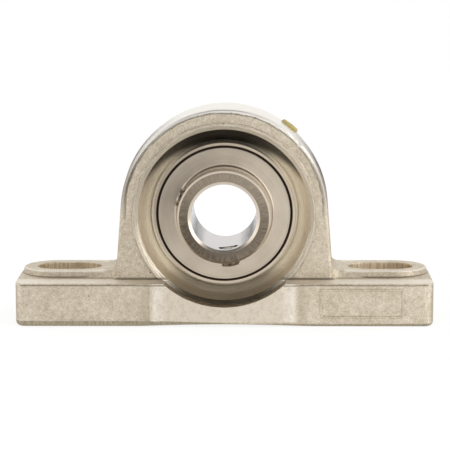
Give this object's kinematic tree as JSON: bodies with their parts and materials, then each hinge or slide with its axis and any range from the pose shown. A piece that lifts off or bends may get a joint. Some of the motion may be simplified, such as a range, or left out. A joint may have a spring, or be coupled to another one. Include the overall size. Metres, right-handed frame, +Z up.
{
  "type": "pillow block bearing",
  "caption": "Cast pillow block housing with a self-aligning set-screw ball bearing insert for a round shaft.",
  "frame": {"origin": "centre of the foot's underside, midway between the bolt slots, under the shaft's centre", "axes": "+Z up from the foot, X along the foot, Y along the shaft, with the set-screw side towards -Y"},
  "size_m": [0.127, 0.0383, 0.0663],
  "materials": {
    "cast_stainless": "bead-blasted investment casting",
    "ring_steel": "ground",
    "slinger_steel": "satin pressed sheet",
    "ball_steel": "polished",
    "cage_steel": "pressed strip",
    "core_steel": "pressed strip",
    "screw_steel": "machined",
    "seal_rubber": "moulded",
    "plug_plastic": "translucent"
  },
  "bodies": {
    "housing": {"housing": "cast_stainless"},
    "plug": {"grease_plug": "plug_plastic"},
    "pin": {"locating_pin": "ring_steel"},
    "outer": {"outer_ring": "ring_steel", "seal_front": "seal_rubber", "seal_rear": "seal_rubber", "seal_core_front": "core_steel", "seal_core_rear": "core_steel"},
    "inner": {"inner_ring": "ring_steel", "slinger_front": "slinger_steel", "slinger_rear": "slinger_steel"},
    "screw_a": {"set_screw_a": "screw_steel"},
    "screw_b": {"set_screw_b": "screw_steel"},
    "cage": {"cage_front": "cage_steel", "cage_rear": "cage_steel", "cage_rivets": "cage_steel"},
    "ball_1": {"ball_1": "ball_steel"},
    "ball_2": {"ball_2": "ball_steel"},
    "ball_3": {"ball_3": "ball_steel"},
    "ball_4": {"ball_4": "ball_steel"},
    "ball_5": {"ball_5": "ball_steel"},
    "ball_6": {"ball_6": "ball_steel"},
    "ball_7": {"ball_7": "ball_steel"},
    "ball_8": {"ball_8": "ball_steel"}
  },
  "joints": [
    {"name": "plug_pull", "type": "slide", "parent": "housing", "child": "plug", "axis": [0.6088, 0, 0.7934], "range_m": [0, 0.008]},
    {"name": "align_pitch", "type": "hinge", "parent": "housing", "child": "pin", "pos_m": [0, 0, 0.0333], "axis": [1, 0, 0], "range_deg": [-3, 3]},
    {"name": "align_yaw", "type": "hinge", "parent": "pin", "child": "outer", "pos_m": [0, 0, 0.0333], "axis": [0, 0, 1], "range_deg": [-3, 3]},
    {"name": "shaft_spin", "type": "hinge", "parent": "outer", "child": "inner", "pos_m": [0, 0, 0.0333], "axis": [0, 1, 0], "continuous": true},
    {"name": "screw_a_travel", "type": "slide", "parent": "inner", "child": "screw_a", "axis": [-0.9239, 0, 0.3827], "range_m": [-0.00015, 0.003]},
    {"name": "screw_b_travel", "type": "slide", "parent": "inner", "child": "screw_b", "axis": [0.1305, 0, -0.9914], "range_m": [-0.00015, 0.003]},
    {"name": "cage_orbit", "type": "hinge", "parent": "outer", "child": "cage", "pos_m": [0, 0, 0.0333], "axis": [0, 1, 0], "continuous": true},
    {"name": "ball_1_roll", "type": "hinge", "parent": "cage", "child": "ball_1", "pos_m": [0.01547, 0, 0.03971], "axis": [0, 1, 0], "continuous": true},
    {"name": "ball_2_roll", "type": "hinge", "parent": "cage", "child": "ball_2", "pos_m": [0.00641, 0, 0.04877], "axis": [0, 1, 0], "continuous": true},
    {"name": "ball_3_roll", "type": "hinge", "parent": "cage", "child": "ball_3", "pos_m": [-0.00641, 0, 0.04877], "axis": [0, 1, 0], "continuous": true},
    {"name": "ball_4_roll", "type": "hinge", "parent": "cage", "child": "ball_4", "pos_m": [-0.01547, 0, 0.03971], "axis": [0, 1, 0], "continuous": true},
    {"name": "ball_5_roll", "type": "hinge", "parent": "cage", "child": "ball_5", "pos_m": [-0.01547, 0, 0.02689], "axis": [0, 1, 0], "continuous": true},
    {"name": "ball_6_roll", "type": "hinge", "parent": "cage", "child": "ball_6", "pos_m": [-0.00641, 0, 0.01783], "axis": [0, 1, 0], "continuous": true},
    {"name": "ball_7_roll", "type": "hinge", "parent": "cage", "child": "ball_7", "pos_m": [0.00641, 0, 0.01783], "axis": [0, 1, 0], "continuous": true},
    {"name": "ball_8_roll", "type": "hinge", "parent": "cage", "child": "ball_8", "pos_m": [0.01547, 0, 0.02689], "axis": [0, 1, 0], "continuous": true}
  ],
  "couplings": [
    {"joint": "cage_orbit", "follows": "shaft_spin", "ratio": 0.38151},
    {"joint": "ball_1_roll", "follows": "shaft_spin", "ratio": -1.9915},
    {"joint": "ball_2_roll", "follows": "shaft_spin", "ratio": -1.9915},
    {"joint": "ball_3_roll", "follows": "shaft_spin", "ratio": -1.9915},
    {"joint": "ball_4_roll", "follows": "shaft_spin", "ratio": -1.9915},
    {"joint": "ball_5_roll", "follows": "shaft_spin", "ratio": -1.9915},
    {"joint": "ball_6_roll", "follows": "shaft_spin", "ratio": -1.9915},
    {"joint": "ball_7_roll", "follows": "shaft_spin", "ratio": -1.9915},
    {"joint": "ball_8_roll", "follows": "shaft_spin", "ratio": -1.9915}
  ]
}
